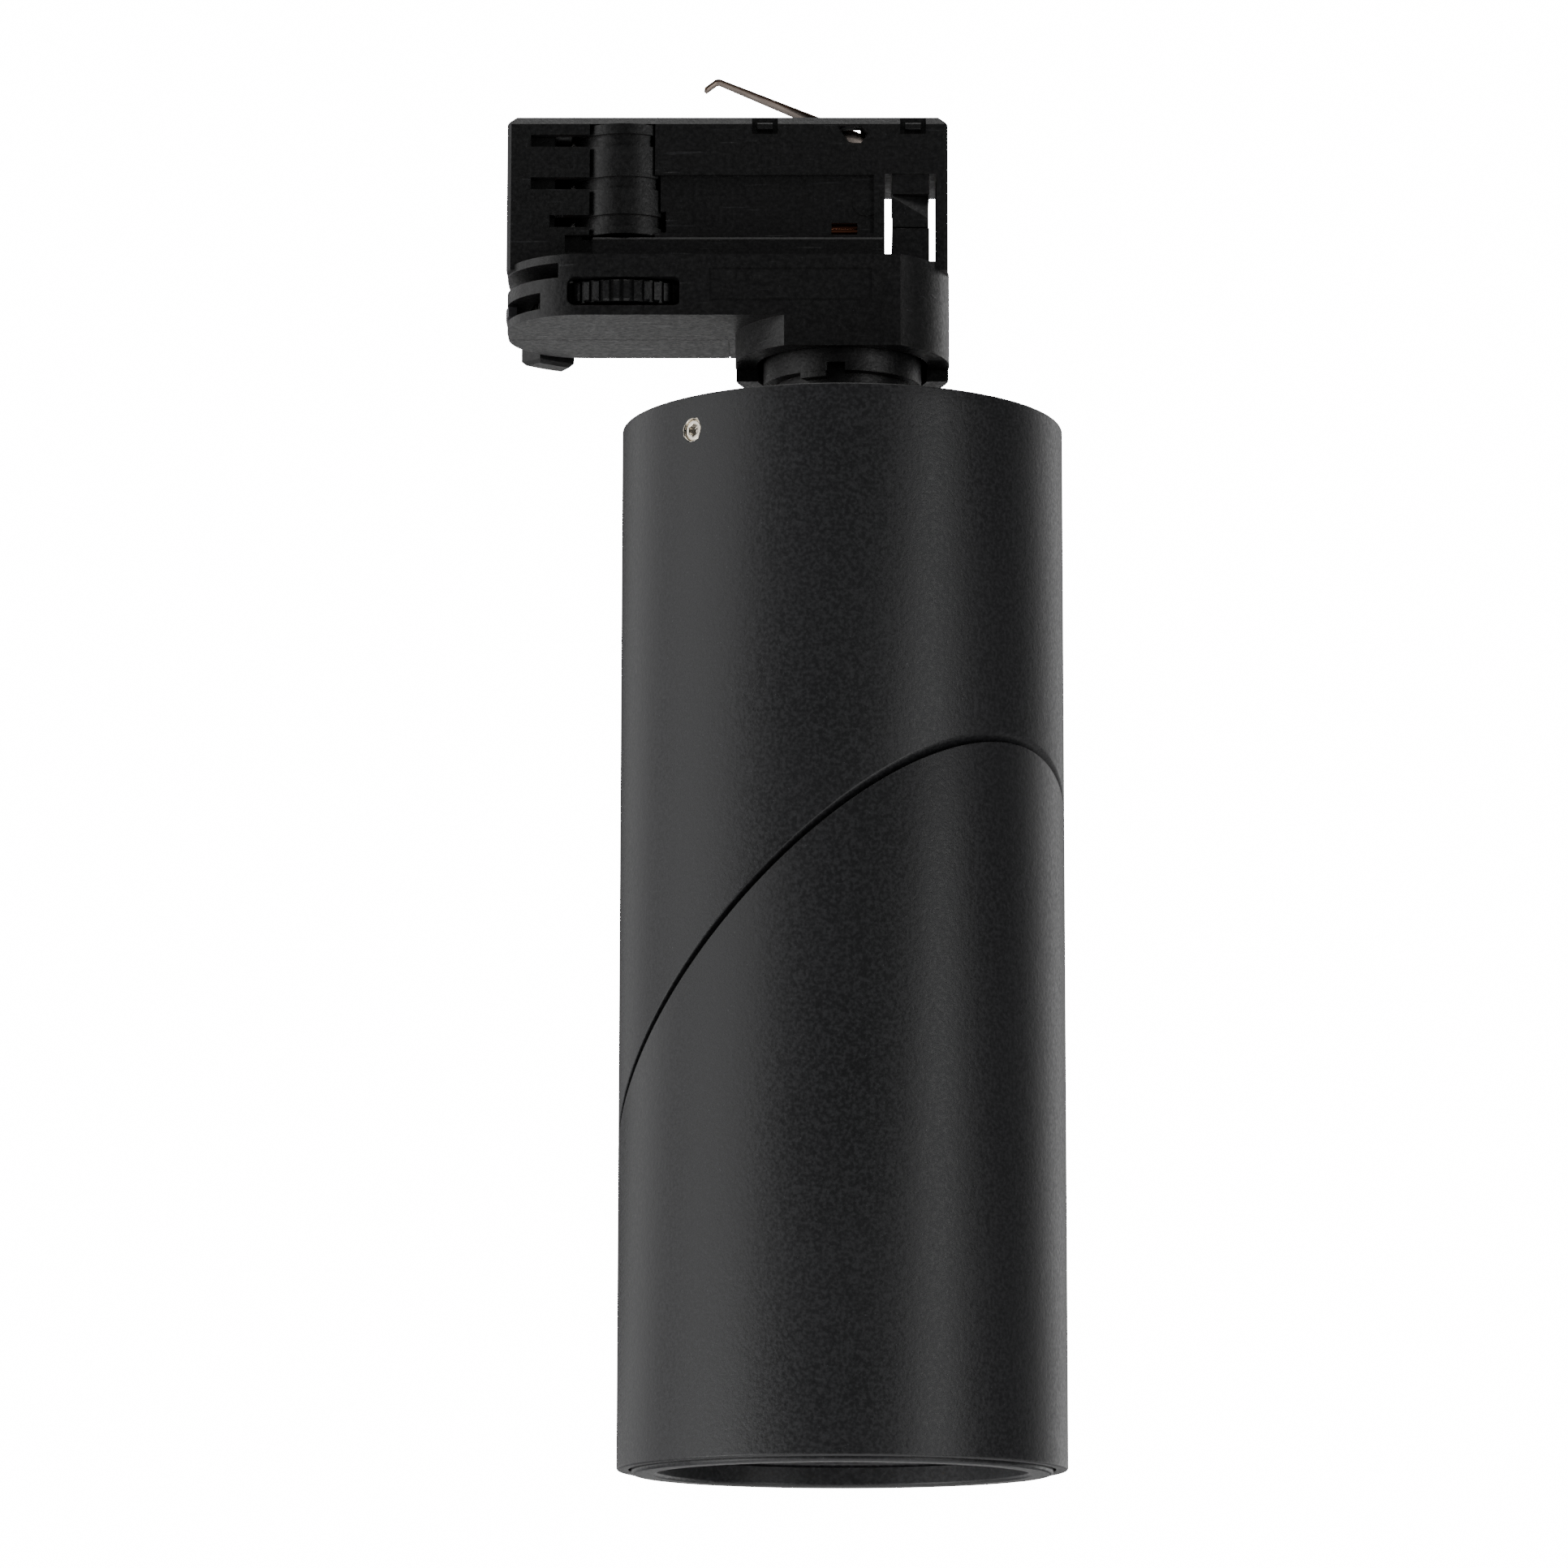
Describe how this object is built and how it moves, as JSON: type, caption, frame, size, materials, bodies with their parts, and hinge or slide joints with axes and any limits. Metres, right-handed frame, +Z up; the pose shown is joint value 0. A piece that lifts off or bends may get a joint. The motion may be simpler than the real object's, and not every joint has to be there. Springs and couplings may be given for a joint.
{
  "type": "track spotlight",
  "caption": "Cylindrical spotlight with an oblique turning joint, on a three-circuit track adapter with locking lever and phase selector.",
  "frame": {"origin": "swivel axis at the seat plane, where the adapter's flange meets the underside of the track", "axes": "+Z up into the track, X along the track with the cup end at +X, -Y the front"},
  "size_m": [0.1077, 0.085, 0.2716],
  "materials": {
    "moulded_black": "fine moulded texture",
    "screw_steel": "zinc plated",
    "terminal_grey": "moulded",
    "copper": "plain copper",
    "bronze_spring": "rolled phosphor bronze",
    "detent_grey": "moulded",
    "zinc_steel": "zinc plated",
    "nickel": "bright nickel plated",
    "black_powder_coat": "fine textured matt powder coat",
    "cast_plate": "dark cast",
    "driver_plastic": "moulded",
    "washer_plastic": "plain",
    "sink_aluminium": "as cast",
    "pad_grey": "soft",
    "board_white": "solder mask",
    "phosphor": "silicone",
    "holder_white": "moulded",
    "reflector_mirror": "faceted bright",
    "clear_glass": "clear",
    "gasket_black": "plain",
    "baffle_black": "matt textured",
    "bezel_black": "matt powder coat"
  },
  "bodies": {
    "adapter": {"front_shell": "moulded_black", "rear_shell": "moulded_black", "shell_screws": "screw_steel", "terminal_block": "terminal_grey", "phase_strips": "copper", "earth_strip": "copper", "lever_detent": "detent_grey", "latch_guide": "moulded_black", "swivel_stop_pin": "screw_steel"},
    "earth_spring": {"earth_spring": "bronze_spring"},
    "locking_lever": {"locking_lever": "moulded_black"},
    "lock_slider": {"lock_slider": "moulded_black"},
    "latch_front": {"latch_tongue_front": "moulded_black"},
    "latch_rear": {"latch_tongue_rear": "moulded_black"},
    "phase_selector": {"contact_drum": "moulded_black", "contact_blades": "copper", "phase_dial": "moulded_black"},
    "upper_lamp": {"nipple": "zinc_steel", "swivel_nut": "zinc_steel", "swivel_washer": "zinc_steel", "swivel_collar": "moulded_black", "cap_nut": "zinc_steel", "top_cap": "black_powder_coat", "grub_screws": "nickel", "upper_housing": "black_powder_coat", "driver_bracket": "zinc_steel", "bracket_screws": "screw_steel", "driver_case": "driver_plastic", "driver_terminal": "terminal_grey", "upper_elbow_plate": "cast_plate", "upper_plate_screws": "screw_steel", "friction_washer": "washer_plastic"},
    "lower_lamp": {"lower_housing": "black_powder_coat", "lower_elbow_plate": "cast_plate", "lower_plate_screws": "screw_steel", "pivot_tube": "zinc_steel", "pivot_washer": "zinc_steel", "pivot_nut": "zinc_steel", "elbow_stop_pin": "screw_steel", "heat_sink": "sink_aluminium", "thermal_pad": "pad_grey", "led_board": "board_white", "led_chip": "phosphor", "led_holder": "holder_white", "holder_screws": "screw_steel", "reflector": "reflector_mirror", "front_glass": "clear_glass", "glass_gasket": "gasket_black", "baffle": "baffle_black", "bezel": "bezel_black"}
  },
  "joints": [
    {"name": "spring_press", "type": "hinge", "parent": "adapter", "child": "earth_spring", "pos_m": [0.005, 0, 0.0269], "axis": [0, -1, 0], "range_deg": [0, 19], "stiffness_Nm_per_rad": 0.6},
    {"name": "lever_turn", "type": "hinge", "parent": "adapter", "child": "locking_lever", "pos_m": [-0.0423, 0, 0], "axis": [0, 0, 1], "range_deg": [0, 90]},
    {"name": "slider_move", "type": "slide", "parent": "adapter", "child": "lock_slider", "axis": [1, 0, 0], "range_m": [0, 0.00301]},
    {"name": "front_latch", "type": "slide", "parent": "adapter", "child": "latch_front", "axis": [0, -1, 0], "range_m": [0, 0.00301]},
    {"name": "rear_latch", "type": "slide", "parent": "adapter", "child": "latch_rear", "axis": [0, 1, 0], "range_m": [0, 0.00301]},
    {"name": "phase_select", "type": "hinge", "parent": "adapter", "child": "phase_selector", "pos_m": [-0.0423, 0, 0], "axis": [0, 0, 1], "range_deg": [-90, 90]},
    {"name": "lamp_swivel", "type": "hinge", "parent": "adapter", "child": "upper_lamp", "pos_m": [0, 0, 0], "axis": [0, 0, 1], "range_deg": [-168, 168]},
    {"name": "lamp_elbow", "type": "hinge", "parent": "upper_lamp", "child": "lower_lamp", "pos_m": [0, 0, -0.139], "axis": [-0.5271, 0.4713, 0.7071], "range_deg": [0, 180]}
  ],
  "couplings": [
    {"joint": "slider_move", "follows": "lever_turn", "m_per_rad": 0.0019099},
    {"joint": "front_latch", "follows": "lever_turn", "m_per_rad": 0.0019099},
    {"joint": "rear_latch", "follows": "lever_turn", "m_per_rad": 0.0019099}
  ]
}
